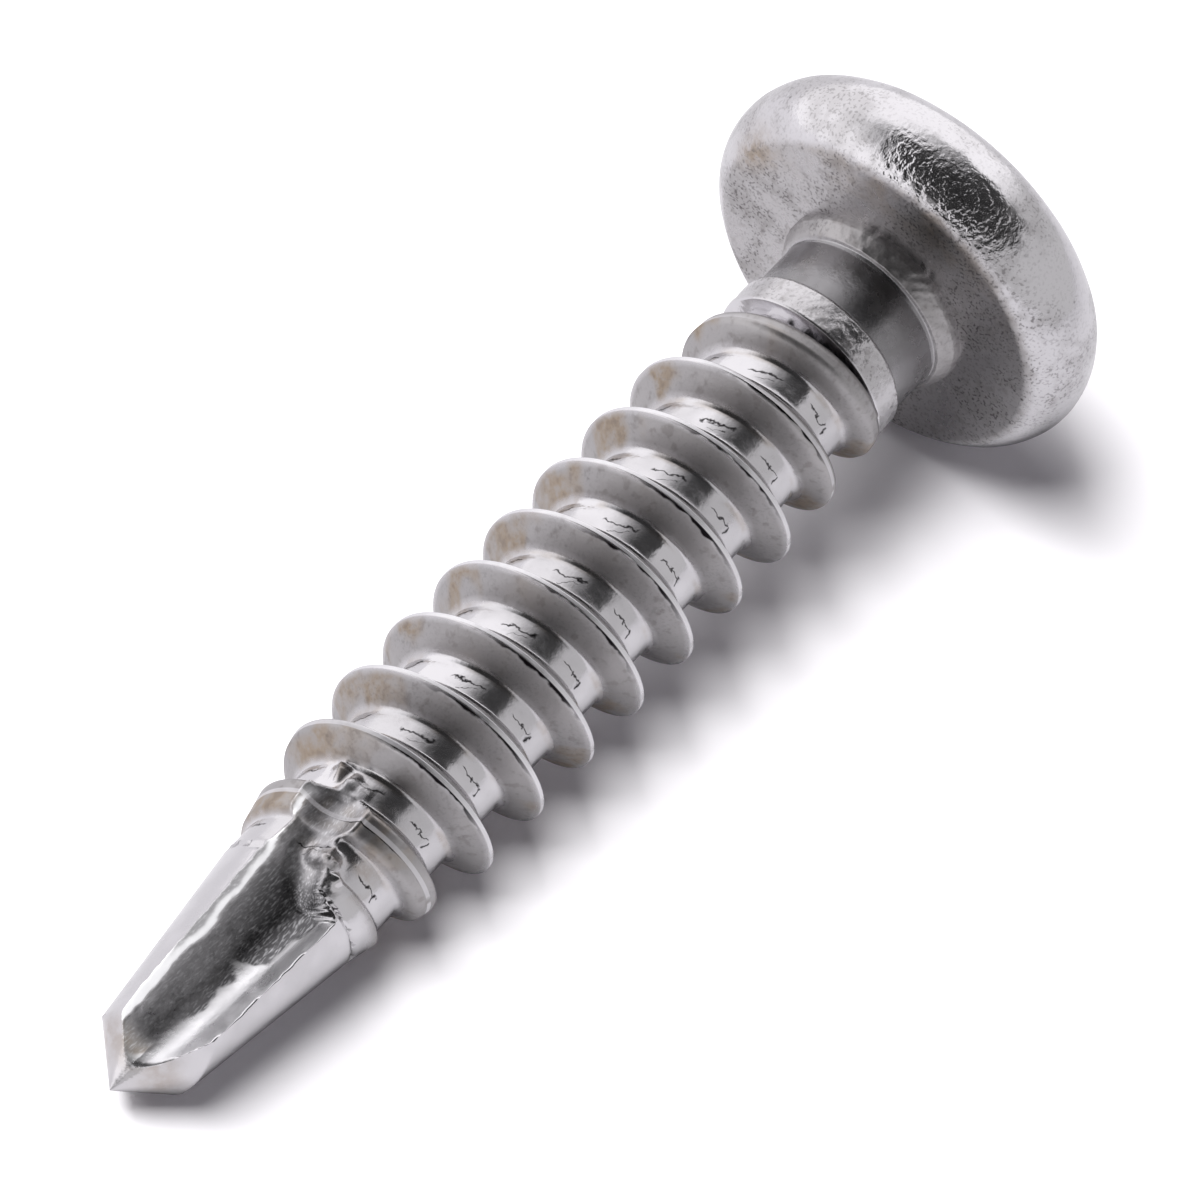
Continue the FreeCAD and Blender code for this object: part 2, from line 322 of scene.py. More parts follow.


# Where each point lies round and across the thread, how dull, stained or worn it is there, and where shade
# and highlights are painted on.
def markShaft(obj, angle, z, radius):
    m = marks
    degrees = np.degrees(angle)
    turns = z / thread["pitch"] - (degrees - thread["start"]) / 360
    fromRoot = (np.mod(turns, 1) - 0.5) * thread["pitch"]
    fromCrest = (turns - np.round(turns)) * thread["pitch"]
    place = around(radius, angle, z)

    # thread: folds in the root, dull flanks, brown stains on one flank, at its foot and at the run-out
    spot = np.mod(degrees - m["turnFrom"], 180) + m["turnFrom"]
    clear = ease(m["turnFrom"] + 180 - spot, *m["clear"]) * ease(spot - m["turnFrom"], *m["clear"])
    rolled = ease(z - thread["foot"], *m["rolledFrom"])
    inRoot = (1 - ease(radius - thread["root"], *m["rootTo"])) * rolled
    onFlank = ease(radius - thread["root"], *m["flankFrom"])
    onFlank = onFlank * ease(thread["radius"] - radius, *m["flankTo"][::-1]) * rolled
    patch = ease(ripple(place, 2.4, 51) + 0.5 * ripple(place, 0.9, 52), -0.2, 0.9)
    flankStain = onFlank * (fromCrest < 0) * patch * bell(spot, *m["stainAt"])
    torn = np.exp(-((z - m["tornAt"][0]) / m["tornAt"][1]) ** 4)
    torn = torn * ease(spot, *m["tornTurn"][:2]) * (1 - ease(spot, *m["tornTurn"][2:]))
    tornStain = 0.5 * torn * ease(ripple(place, 0.6, 54), -0.6, 0.6)
    footStain = 0.55 * bell(fromRoot, *m["footAt"]) * rolled * ease(ripple(place, 0.9, 53), -0.4, 0.8)

    # flute: a bright strip up its wall with one chip, a bright band along its other edge
    inFlute = (radius > fluteRadius(angle, z) - m["fluteSkin"]) & (z < drill["fluteTop"])
    local = fluteAngle(angle)
    across, high = radius * np.cos(local), radius * np.sin(local)
    uneven = 0.08 * ripple(place, 1.1, 55) + 0.03 * ripple(place, 0.3, 56)
    chip = m["chipAt"][2] * bell(z, *m["chipAt"][:2])
    lip = np.interp(z, *np.array(m["lip"]).T) - chip
    strip = ease(high - lip + 0.5 * uneven, -0.03, 0.06) * inFlute
    strip = strip * (across < m["stripWide"]) * ease(-z, *m["stripFrom"])
    beyond = across - np.interp(z, *np.array(m["band"]).T) + 0.3 * uneven
    weak = 0.5 * ease(z, *m["bandWeak"]) * ease(beyond, 0.08, 0.2)
    matte = ease(beyond, -0.03, 0.05) * (1 - weak)
    matte = matte * (local < m["bandTurn"]) * inFlute * ease(-z, *m["bandFrom"])

    # painted shade up the flute's corner and on the lower land, brown at the tip
    side = np.mod(degrees + 180, 360) - 180
    paintedShade = ease(high, *m["cornerUp"]) * (1 - strip) * inFlute * ease(-z, *m["cornerFrom"])
    shade = ease(side, *m["shadeAt"][:2]) * (1 - ease(side, *m["shadeAt"][2:]))
    paintedShade = paintedShade + 0.5 * shade * (1 - inFlute) * (1 - rolled)
    tipSpot = bell(z, *m["spotAt"]) * (across > m["spotOff"]) * inFlute * (1 - matte)
    tipStain = bell(z + drill["length"], *m["tipBrown"]) * (1 - rolled)
    tipStain = np.maximum(tipStain, 1.8 * tipSpot)
    stain = flankStain + tornStain + footStain + 0.5 * tipStain
    addValues(obj, {
        "spot": spot,
        "fromRoot": fromRoot,
        "fromCrest": fromCrest,
        "rootMarks": inRoot * clear,
        # where the crests' painted highlight and dark reflection go
        "crestReflections": clear * rolled * (np.abs(fromCrest) < 0.5) * ease(-z, *m["crestFrom"]),
        "dull": np.where(inFlute, 0.0, m["dull"][0] * onFlank + m["dull"][1] * (1 - onFlank)),
        "stain": np.clip(stain, 0, 1),
        "flute": inFlute * (1 - strip),
        "strip": strip,
        "matte": np.maximum(matte, 0.5 * tipSpot),
        "paintedShade": paintedShade,
    })


# how finely the shaft is drawn, in mm except where degrees or counts are named
shaftMesh = {
    "columns": 204,
    "wallColumns": (0.9, 2.1, 14),       # radii between which a column follows the flute's wall, count
    "rimColumns": (-78, 0.16, 22),       # degrees from the wall, reach in radians and count
    "columnGap": 0.008,                  # radians
    "across": (0.03, 0.045, 0.06, 0.12, 0.2, 0.28, 0.36, 0.42, 0.4665, 0.53, 0.61, 0.7),
    "turns": 12,
    "levelFrom": 0.9,                    # below the thread's foot, where the rows are level
    "tipRows": (0.01, 0.03, 0.06),
    "rowGap": 0.05,
    "top": -2.2,
    "pole": -0.5,
    "sunk": 1.5,                         # radius inside the neck
}


# Angles of the columns: an even ring, with more along the flutes' walls and rims.
def shaftColumns():
    s = shaftMesh
    wall = math.radians(drill["margin"])
    walls = wall - np.arctan2(drill["wall"], np.linspace(*s["wallColumns"]))
    offset, reach, count = s["rimColumns"]
    rims = math.radians(drill["margin"] + offset) + np.linspace(-reach, reach, count)
    dense = np.concatenate([walls, walls + math.pi, rims, rims + math.pi])
    even = np.linspace(0, 2 * np.pi, s["columns"], endpoint=False)
    away = np.abs((even[:, None] - dense + np.pi) % (2 * np.pi) - np.pi).min(1)
    return np.sort(np.concatenate([even[away > s["columnGap"]], dense % (2 * np.pi)]))


# Heights of the rows where the angle is 0: close at each crest and root corner, even on the point.
def shaftRows():
    s = shaftMesh
    gaps = np.array(s["across"])
    across = np.concatenate([-gaps[::-1], [0], gaps])
    helical = (np.arange(-s["turns"], 0)[:, None] * thread["pitch"] + across).ravel()
    low = thread["foot"] - s["levelFrom"]
    helical = helical[(helical > low) & (helical < s["top"] - thread["pitch"] * s["across"][0])]
    tip = -drill["length"]
    even = np.arange(tip + 0.1, low - 0.02, s["rowGap"])
    return np.concatenate([[tip], tip + np.array(s["tipRows"]), even, helical])


# Triangles that close the seam between the last and the first column, which the helix shifts by a
# pitch: they walk up both columns in the order of their heights.
def seamFaces(z):
    rows, columns = z.shape
    left, right = np.arange(rows) * columns + columns - 1, np.arange(rows) * columns
    order = np.argsort(np.concatenate([z[1:, -1], z[1:, 0]]), kind="stable")
    isLeft = order < rows - 1
    i = np.cumsum(isLeft) - isLeft
    j = np.cumsum(~isLeft) - ~isLeft
    third = np.where(isLeft, left[np.minimum(i + 1, rows - 1)], right[np.minimum(j + 1, rows - 1)])
    return np.stack([left[i], right[j], third], -1)


# Grid of the shaft's radius: rows climb with the thread's helix above the point and level out below.
def addShaft():
    angle, height = shaftColumns(), shaftRows()
    rows, columns = len(height), len(angle)
    lead = thread["pitch"] * (angle / (2 * np.pi) - thread["start"] / 360)
    shear = ease(height, 0.3 - drill["length"], thread["foot"] - shaftMesh["levelFrom"])
    z = np.clip(height[:, None] + shear[:, None] * lead, -drill["length"], None)
    turn = angle[None, :] + 0 * z
    points = around(shaftRadius(turn, z), turn, z)
    ring = np.arange(columns - 1)
    start = np.arange(rows - 1)[:, None] * columns
    quads = np.stack([start + ring, start + ring + 1, start + columns + ring + 1, start + columns + ring], -1)
    poles = np.array([[0, 0, -drill["length"] - 0.001], [0, 0, shaftMesh["pole"]]])
    allPoints = np.concatenate([points.reshape(-1, 3), poles])
    triangles = np.concatenate([seamFaces(z), poleFans(rows, columns)])
    obj = buildMesh("screwShaft", allPoints, quads.reshape(-1, 4), triangles)
    markShaft(obj, turn, z, np.hypot(points[..., 0], points[..., 1]))
    print("shaft", rows, "rows", columns, "columns")
    return obj


# the collar, shank and band under the head, in mm
neck = {
    "collarRadius": 2.21,
    "collarFoot": 2.02,
    "shankRadius": 1.92,
    "bandRadius": 2.03,
    "bandTop": -1.86,
    "bandFoot": -2.56,
    "top": 0.6,                  # how far it reaches into the head
    "inner": 0.6,                # radius where its end face stops
    "rough": 0.003,
    "columns": 360,
    "rowGap": 0.045,
}


# Turned outline, with ripples added to the radius on the collar and the band.
def addNeck():
    n = neck
    collar, shank, band = n["collarRadius"], n["shankRadius"], n["bandRadius"]
    line = np.array([
        (collar, n["top"]), (collar, 0.0), (collar, -0.1), (collar - 0.02, -0.2),
        (n["collarFoot"] + 0.05, -0.42), (n["collarFoot"], -0.5), (shank + 0.02, -0.53), (shank, -0.6),
        (shank, n["bandTop"] + 0.08), (shank + 0.01, n["bandTop"] + 0.02),
        (band - 0.01, n["bandTop"] - 0.01), (band, n["bandTop"] - 0.04),
        (band, n["bandFoot"] + 0.04), (band - 0.02, n["bandFoot"]), (n["inner"], n["bandFoot"]),
    ])
    length = np.concatenate([[0], np.cumsum(np.hypot(*np.diff(line, axis=0).T))])
    steps = np.unique(np.concatenate([length, np.arange(0, length[-1], n["rowGap"])]))
    radius = np.interp(steps, length, line[:, 0])[::-1, None]
    z = np.interp(steps, length, line[:, 1])[::-1, None]
    angle = np.linspace(0, 2 * np.pi, n["columns"], endpoint=False)[None, :] + 0 * z
    plain = around(radius + 0 * angle, angle, z)
    onCollar = ease(z, -0.56, -0.5) * (1 - ease(z, 0.1, 0.3))
    onBand = ease(n["bandTop"] - z, -0.02, 0.03) * ease(z - n["bandFoot"], 0.01, 0.06)
    bumps = ripple(plain, 0.6, 11) + 0.7 * ripple(plain, 0.22, 12)
    radius = radius + n["rough"] * bumps * (onCollar * 1.5 + onBand)
    points = around(radius, angle, z).reshape(-1, 3)
    poles = np.array([[0, 0, n["bandFoot"]], [0, 0, n["top"]]])
    obj = buildMesh("screwNeck", np.concatenate([points, poles]), *turnedFaces(len(z), n["columns"]))
    bare = 1 - np.clip(onCollar + onBand, 0, 1)
    addValues(obj, {
        "dull": 0.35 - 0.35 * bare + 0.5 * onCollar * (1 - bare) + 0 * angle,
        "crinkle": 0.12 * onCollar + 0.3 * onBand + 0 * angle,
        "shank": bare * ease(-z, 0.2, 0.5) * ease(z - n["bandTop"], -0.03, 0.03) + 0 * angle,
        "dirty": 0.5 * (1 - bare) + 0 * angle,
    })
    print("neck", len(z), "rows", n["columns"], "columns")
    return obj


# the pan head, in mm
head = {
    "radius": 4.57,
    "height": 3.3,
    "sideRadius": 1.26,
    "sideHeight": 1.12,          # height of the side arc's centre
    "edgeRound": 0.05,
    "inner": 0.6,                # radius where the face underneath starts
    "dents": 0.004,
    "rows": (60, 54, 48),        # underneath, side and crown
    "columns": 400,
    "wrinkled": ((-2, 10), (40, 52), (-0.02, 0.1), (0.7, 1.3)),    # degrees from and to, z from and to
    "pitted": ((45, 60), (115, 140), (0.3, 0.9)),                  # degrees from and to, z to
    "brownAt": ((-48, 10), (3.86, 0.35)),                          # degrees and radius, each with reach
    "smudgeAt": ((20, 38), (2.3, 3.9)),                            # degrees with reach, radius from
}


# Half outline: flat underneath, an arc round the side, and a crown arc that meets it smoothly.
def headOutline():
    h = head
    centre = np.array([h["radius"] - h["sideRadius"], h["sideHeight"]])
    rise = h["height"] - h["sideHeight"]
    crown = (centre[0] ** 2 + rise ** 2 - h["sideRadius"] ** 2) / (2 * (rise - h["sideRadius"]))
    low = math.asin(-h["sideHeight"] / h["sideRadius"])
    high = math.atan2(centre[1] - (h["height"] - crown), centre[0])
    edge = centre[0] + h["sideRadius"] * math.cos(low)
    under = np.linspace(h["inner"], edge - h["edgeRound"], h["rows"][0])
    side = np.linspace(low + h["edgeRound"] / h["sideRadius"], high, h["rows"][1])
    over = np.linspace(high, math.pi / 2, h["rows"][2])[1:-1]
    radius = np.concatenate([under, centre[0] + h["sideRadius"] * np.cos(side), crown * np.cos(over)])
    sideZ = centre[1] + h["sideRadius"] * np.sin(side)
    z = np.concatenate([0 * under, sideZ, h["height"] - crown + crown * np.sin(over)])
    return radius, z


# Where the head is wrinkled, dull, pitted, stained or dirty, by angle, height and radius.
def markHead(obj, plain, angle, z, radius):
    h = head
    degrees = np.mod(np.degrees(angle) + 180, 360) - 180
    under = 1 - ease(z, 0.0, 0.12)
    turnFrom, turnTo, zFrom, zTo = h["wrinkled"]
    wrinkled = ease(degrees, *turnFrom) * (1 - ease(degrees, *turnTo)) * ease(z, *zFrom) * (1 - ease(z, *zTo))
    turnFrom, turnTo, zTo = h["pitted"]
    pitted = ease(degrees, *turnFrom) * (1 - ease(degrees, *turnTo)) * (1 - ease(z, *zTo))
    brown = bell(degrees, *h["brownAt"][0]) * bell(radius, *h["brownAt"][1])
    smudge = 0.75 * under * bell(degrees, *h["smudgeAt"][0]) * ease(radius, *h["smudgeAt"][1])
    smudge = smudge * ease(ripple(plain, 1.6, 23) + 0.5 * ripple(plain, 0.5, 24), -1.6, 0.8)
    addValues(obj, {
        "crinkle": wrinkled,
        "dull": 0.62 * under + 0.05 * (1 - under) + 0 * angle,
        "pits": 0.5 + 0.5 * pitted,
        "stain": np.clip(brown + smudge, 0, 1),
        "dirty": np.clip(0.55 + 0.45 * pitted + 0.35 * under, 0, 1),
    })


# Outline turned about the axis, with shallow ripples on the side, and the recess cut in its crown.
def addHead():
    h = head
    outline, z = headOutline()
    outline, z = outline[:, None], z[:, None]
    angle = np.linspace(0, 2 * np.pi, h["columns"], endpoint=False)[None, :] + 0 * z
    plain = around(outline + 0 * angle, angle, z)
    bumps = ripple(plain, 2.2, 21) + 0.35 * ripple(plain, 0.8, 22)
    radius = outline + h["dents"] * bumps * ease(z, 0.0, 0.35) * np.clip(outline / 4.0, 0, 1)
    points = around(radius, angle, z).reshape(-1, 3)
    poles = np.array([[0, 0, 0], [0, 0, h["height"]]])
    obj = buildMesh("screwHead", np.concatenate([points, poles]), *turnedFaces(len(z), h["columns"]))
    markHead(obj, plain, angle, z, radius)
    for cutter in recessCutters():
        cut = obj.modifiers.new("recess", "BOOLEAN")
        cut.object = cutter
        cut.operation = "DIFFERENCE"
        cut.solver = "EXACT"
        bpy.context.view_layer.objects.active = obj
        bpy.ops.object.modifier_apply(modifier=cut.name)
        bpy.data.objects.remove(cutter)
    print("head", len(z), "rows", h["columns"], "columns", len(obj.data.polygons), "faces")
    return obj


# the cross recess, in mm
recess = {
    "span": 4.9,
    "footSpan": 1.9,
    "depth": 2.7,
    "wingWidth": 1.0,
    "coreFoot": 0.8,             # share of half the foot's span
    "coreTop": 1.5,
    "tipDepth": 0.45,
    "tipRadius": 0.02,
    "over": 0.6,                 # how far the cutters stand out of the crown
    "coreColumns": 48,
}


# Cutters: two crossed wedges and a round core that narrow towards the foot. Their end faces lie at
# slightly different heights, because the cut fails where two faces share a plane.
def recessCutters():
    r = recess
    top, foot = head["height"] + r["over"], head["height"] - r["depth"]
    taper = (r["span"] - r["footSpan"]) / 2 / r["depth"]
    footHalf, topHalf = r["footSpan"] / 2, r["span"] / 2 + taper * r["over"]
    wide = r["wingWidth"] / 2
    box = np.array([[0, 3, 2, 1], [4, 5, 6, 7], [0, 1, 5, 4], [1, 2, 6, 5], [2, 3, 7, 6], [3, 0, 4, 7]])
    noTriangles = np.zeros((0, 3), dtype=int)
    x = np.array([-footHalf, footHalf, footHalf, -footHalf, -topHalf, topHalf, topHalf, -topHalf])
    y = np.array([-wide, -wide, wide, wide] * 2)
    cutters = []
    for name, turn, lift in (("wingA", 0, 0), ("wingB", math.pi / 2, 0.011)):
        z = np.array([foot] * 4 + [top] * 4) + lift
        right = x * math.cos(turn) - y * math.sin(turn)
        back = x * math.sin(turn) + y * math.cos(turn)
        points = np.stack([right, back, z], -1)
        cutters.append(buildMesh(name, points, box, noTriangles))
    tip = foot - r["tipDepth"]
    angle = np.linspace(0, 2 * np.pi, r["coreColumns"], endpoint=False)[None, :] + np.zeros((3, 1))
    radius = np.array([r["tipRadius"], footHalf * r["coreFoot"], r["coreTop"]])[:, None] + 0 * angle
    z = np.array([tip, foot + 0.013, top + 0.037])[:, None]
    points = around(radius, angle, z).reshape(-1, 3)
    poles = np.array([[0, 0, tip - 0.005], [0, 0, top + 0.05]])
    cutters.append(buildMesh("core", np.concatenate([points, poles]), *turnedFaces(3, r["coreColumns"])))
    for cutter in cutters:
        cutter.data.shade_flat()
    return cutters


# An empty material, with its nodes and links.
def newMaterial(name):
    material = bpy.data.materials.new(name)
    material.use_nodes = True
    material.node_tree.nodes.clear()
    return material, material.node_tree.nodes, material.node_tree.links


# the plated steel: sizes in mm, colours as red, green, blue and one
steel = {
    "cloud": (1.3, 2.0),                 # size and detail of each noise
    "grain": (0.25, 3.0),
    "fine": (0.07, 1.5),
    "wrinkle": (0.15, 2.0),
    "ragged": (0.55, 3.0),
    "scratch": (0.035, 1.0),
    "scratchStretch": (0.16, 1, 1),
    "pitSize": 0.42,
    "folds": [                           # degrees, mm across, half length, slope, wave, width
        (12, 0.02, 14, 0.004, 0.42, 0.045),
        (-40, 0.12, 9, 0.002, 0.30, 0.035),
        (62, -0.02, 12, 0.0, 0.34, 0.028),
        (14, -0.14, 7, 0.012, 0.3, 0.012),
    ],
    "ticks": [                           # degrees, mm across, half length across, width in degrees
        (74, -0.11, 0.12, 1.6),
        (63, -0.03, 0.06, 1.4),
    ],
    "tickWave": 12.0,
    # the painted dark reflection of each crest's rounded edge
    "darkReflectionFoot": (-0.077, 0.17),           # mm from the crest, and how ragged it is
    "darkReflectionEdge": (-0.012, 0.012),          # mm
    "darkReflectionCrest": (-0.058, -0.046),        # mm from the crest
    "darkReflectionTurn": (-8, 22, 55, 88),         # degrees where it begins and ends
    "crestEdge": (0.038, 0.055),         # mm from the crest, where its painted highlight fades out
    "bright": (0.75, 0.738, 0.757, 1),
    "dull": (0.40, 0.386, 0.384, 1),
    "coats": {                           # how much of each coat is laid on, and its colour
        "clouded": (0.28, (0.50, 0.49, 0.50, 1)),
        "brown": (1.0, (0.40, 0.325, 0.25, 1)),
        "speck": (0.35, (0.22, 0.19, 0.18, 1)),
        "shank": (0.8, (0.20, 0.195, 0.20, 1)),
        "flute": (0.35, (0.30, 0.297, 0.305, 1)),
        # painted shade in the flute's corner and on the lower land
        "paintedShade": (0.85, (0.09, 0.089, 0.093, 1)),
        "worn": (1.0, (0.93, 0.925, 0.94, 1)),
        "scratched": (0.6, (0.92, 0.92, 0.94, 1)),
        "mottled": (0.42, (0.33, 0.315, 0.31, 1)),
        "dirt": (1.0, (0.16, 0.15, 0.15, 1)),
        # painted highlight along each crest
        "crest": (0.75, (0.88, 0.87, 0.89, 1)),
        "pit": (0.85, (0.05, 0.045, 0.045, 1)),
        # root folds and ticks, and the painted dark reflection beside each crest
        "dark": (1.0, (0.012, 0.01, 0.012, 1)),
    },
    "limits": {                          # noise levels, or pit sizes, between which each mark comes in
        "clouded": (0.40, 0.62),
        "brown": (0.30, 0.60, 0.35, 0.95),
        "speck": (0.56, 0.68),
        "worn": (0.5, 0.9),
        "scratched": (0.45, 0.8),
        "wrinkled": (0.36, 0.64),
        "mottled": (0.46, 0.64),
        "dirt": (0.52, 0.66),
        "dirtCloud": (0.38, 0.62, 0.25, 1.0),
        "pit": (0.05, 0.13, 1.0, 0.0),
        "pitChance": (0.6, 0.75),
    },
    "bumpUnit": 1e-6,                    # metres, so the bumps below are in thousandths of a mm
    "bumps": (7.0, 13.0, 1.2, 2.5),      # grain, wrinkles, fine grain, and fine grain where dirty
}


# Zinc plated steel: one metal whose colour and roughness are blended from layers, each a noise or a
# line times the value that the meshes carry for it.
def zincSteel():
    s = steel
    material, nodes, links = newMaterial("zinc plated steel")
    place = nodes.new("ShaderNodeTexCoord").outputs["Object"]

    def give(value, socket):
        if isinstance(value, bpy.types.NodeSocket):
            links.new(value, socket)
        else:
            socket.default_value = value

    def sums(operation, first, second=0.0):
        node = nodes.new("ShaderNodeMath")
        node.operation = operation
        give(first, node.inputs[0])
        give(second, node.inputs[1])
        return node.outputs[0]

    def times(first, *others):
        for other in others:
            first = sums("MULTIPLY", first, other)
        return first

    def plus(first, *others):
        for other in others:
            first = sums("ADD", first, other)
        return first

    def minus(first, second):
        return sums("SUBTRACT", first, second)

    def spread(value, low, high, toLow=0.0, toHigh=1.0):
        node = nodes.new("ShaderNodeMapRange")
        node.interpolation_type = "SMOOTHSTEP"
        for socket, number in zip(node.inputs, (value, low, high, toLow, toHigh)):
            give(number, socket)
        return node.outputs[0]

    def read(name):
        node = nodes.new("ShaderNodeAttribute")
        node.attribute_name = name
        return node.outputs["Fac"]

    def noise(size, detail, stretch=(1, 1, 1)):
        node = nodes.new("ShaderNodeTexNoise")
        turned = nodes.new("ShaderNodeMapping")
        turned.inputs["Scale"].default_value = stretch
        links.new(place, turned.inputs[0])
        links.new(turned.outputs[0], node.inputs["Vector"])
        node.inputs["Scale"].default_value = 1 / (size * pose["metresPerMm"])
        node.inputs["Detail"].default_value = detail
        return node.outputs["Fac"]

    def layer(share, under, over):
        node = nodes.new("ShaderNodeMix")
        node.data_type = "RGBA"
        give(share, node.inputs[0])
        give(under, node.inputs[6])
        give(over, node.inputs[7])
        return node.outputs[2]

    cloud, grain, fine = noise(*s["cloud"]), noise(*s["grain"]), noise(*s["fine"])
    wiggle = minus(grain, 0.5)
    spot, fromRoot, fromCrest = read("spot"), read("fromRoot"), read("fromCrest")
    dull, flute, strip, matte = read("dull"), read("flute"), read("strip"), read("matte")
    shank, dirty, crestReflections = read("shank"), read("dirty"), read("crestReflections")

    # a dark wavy line round the root, from its middle place, half length, slope, wave and width
    def fold(alongAt, acrossAt, half, slope, wave, width):
        along = minus(spot, alongAt)
        line = plus(times(along, slope), times(wiggle, wave))
        away = sums("ABSOLUTE", minus(minus(fromRoot, acrossAt), line))
        ends = spread(sums("ABSOLUTE", along), half * 0.8, half, 1.0, 0.0)
        return times(spread(away, 0.0, width, 1.0, 0.0), ends)

    # a short dark line across the root
    def tick(alongAt, acrossAt, half, width):
        away = sums("ABSOLUTE", minus(minus(spot, alongAt), times(wiggle, s["tickWave"])))
        ends = spread(sums("ABSOLUTE", minus(fromRoot, acrossAt)), half * 0.8, half, 1.0, 0.0)
        return times(spread(away, 0.0, width, 1.0, 0.0), ends)

    lines = [fold(*values) for values in s["folds"]] + [tick(*values) for values in s["ticks"]]
    dark = lines[0]
    for line in lines[1:]:
        dark = sums("MAXIMUM", dark, line)
    dark = times(dark, read("rootMarks"))

    # a black line beside each crest, the painted dark reflection of its rounded edge, ragged and thinning out
    # at both ends, and a painted highlight along the crest
    reflectionAt, reflectionWave = s["darkReflectionFoot"]
    darkReflectionFoot = plus(reflectionAt, times(minus(noise(*s["ragged"]), 0.5), reflectionWave))
    darkReflection = spread(minus(fromCrest, darkReflectionFoot), *s["darkReflectionEdge"])
    darkReflection = times(darkReflection, spread(fromCrest, *s["darkReflectionCrest"], 1.0, 0.0), spread(spot, *s["darkReflectionTurn"][:2]))
    darkReflection = times(darkReflection, spread(spot, *s["darkReflectionTurn"][2:], 1.0, 0.0), crestReflections)
    dark = sums("MAXIMUM", dark, darkReflection)
    crest = times(spread(sums("ABSOLUTE", fromCrest), *s["crestEdge"], 1.0, 0.0), crestReflections)

    # pits in some of the cells, wrinkles, scratches and dirt
    limits = s["limits"]
    cells = nodes.new("ShaderNodeTexVoronoi")
    cells.inputs["Scale"].default_value = 1 / (s["pitSize"] * pose["metresPerMm"])
    links.new(place, cells.inputs["Vector"])
    chance = nodes.new("ShaderNodeSeparateColor")
    links.new(cells.outputs["Color"], chance.inputs[0])
    pits = spread(cells.outputs["Distance"], *limits["pit"])
    pits = times(pits, spread(chance.outputs[0], *limits["pitChance"]))
    pits = times(pits, sums("MAXIMUM", read("pits"), times(dull, 0.3)))
    wrinkles = times(read("crinkle"), spread(noise(*s["wrinkle"]), *limits["wrinkled"]))
    scratches = times(spread(noise(*s["scratch"], s["scratchStretch"]), *limits["scratched"]), flute)
    dirt = times(spread(fine, *limits["dirt"]), spread(cloud, *limits["dirtCloud"]))
    dirt = times(dirt, plus(times(dirty, 0.75), times(dull, 0.22)))
    mottled = times(spread(plus(cloud, times(wiggle, 0.5)), *limits["mottled"]), dirty)

    colour = layer(dull, s["bright"], s["dull"])
    shares = {
        "clouded": spread(cloud, *limits["clouded"]),
        "brown": times(read("stain"), spread(grain, *limits["brown"])),
        "speck": times(spread(grain, *limits["speck"]), dull),
        "shank": shank,
        "flute": flute,
        # painted shade in the flute's corner and on the lower land
        "paintedShade": read("paintedShade"),
        "worn": sums("MAXIMUM", strip, spread(matte, *limits["worn"])),
        "scratched": scratches,
        "mottled": mottled,
        "dirt": dirt,
        # painted highlight along each crest
        "crest": crest,
        "pit": pits,
        "dark": dark,
    }
    for name, share in shares.items():
        amount, paint = s["coats"][name]
        colour = layer(times(share, amount), colour, paint)

    rough = plus(times(dull, 0.30), spread(cloud, 0.35, 0.65, 0.08, 0.18))
    rough = plus(rough, times(spread(grain, 0.4, 0.7), 0.08), times(crest, 0.25))
    rough = plus(rough, times(flute, plus(0.10, times(fine, 0.25))))
    rough = plus(rough, times(shank, 0.12), times(strip, 0.18))

    grainBump, wrinkleBump, fineBump, dirtyBump = s["bumps"]
    height = plus(times(grain, grainBump), times(wrinkles, wrinkleBump))
    height = plus(height, times(fine, plus(fineBump, times(dirty, dirtyBump))))
    bump = nodes.new("ShaderNodeBump")
    bump.inputs["Distance"].default_value = s["bumpUnit"]
    links.new(height, bump.inputs["Height"])

    shader = nodes.new("ShaderNodeBsdfPrincipled")
    out = nodes.new("ShaderNodeOutputMaterial")
    links.new(colour, shader.inputs["Base Color"])
    links.new(minus(1.0, times(matte, 0.9)), shader.inputs["Metallic"])
    links.new(rough, shader.inputs["Roughness"])
    links.new(bump.outputs[0], shader.inputs["Normal"])
    links.new(shader.outputs[0], out.inputs[0])
    print("steel", len(nodes), "nodes")
    return material


# the photograph's camera, in metres
view = {
    "location": (-0.085030, -0.034653, 0.124255),
    "target": (0.000101, -0.000640, 0.004390),
    "roll": 19.562,              # degrees
    "lens": 228.22,              # mm
    "sensor": 36,                # mm
    "clip": (0.01, 10),
}


# Looks from the location to the target, then rolls about its own axis.
def addCamera():
    camera = bpy.data.objects.new("camera", bpy.data.cameras.new("camera"))
    bpy.context.collection.objects.link(camera)
    camera.data.lens = view["lens"]
    camera.data.sensor_width = view["sensor"]
    camera.data.clip_start, camera.data.clip_end = view["clip"]
    place = Vector(view["location"])
    look = (Vector(view["target"]) - place).to_track_quat("-Z", "Y").to_matrix().to_4x4()
    camera.matrix_world = look @ Matrix.Rotation(math.radians(view["roll"]), 4, "Z")
    camera.location = place
    bpy.context.scene.camera = camera


# Stage pieces that aren't part of the screw; the tent is seen by the metal alone.
def addStage(name, material, mesh, toCamera):
    obj = bpy.data.objects.new(name, mesh)
    bpy.context.collection.objects.link(obj)
    mesh.materials.append(material)
    if not toCamera:
        obj.visible_camera = False
        obj.visible_diffuse = False
        obj.visible_shadow = False


# the pale floor
floor = {
    "size": 1.6,                         # metres
    "colour": (0.60, 0.59, 0.61, 1),     # as the metal mirrors it
    "seen": (1.02, 1.0, 1.03, 1),        # to the camera alone, so that it renders white
}


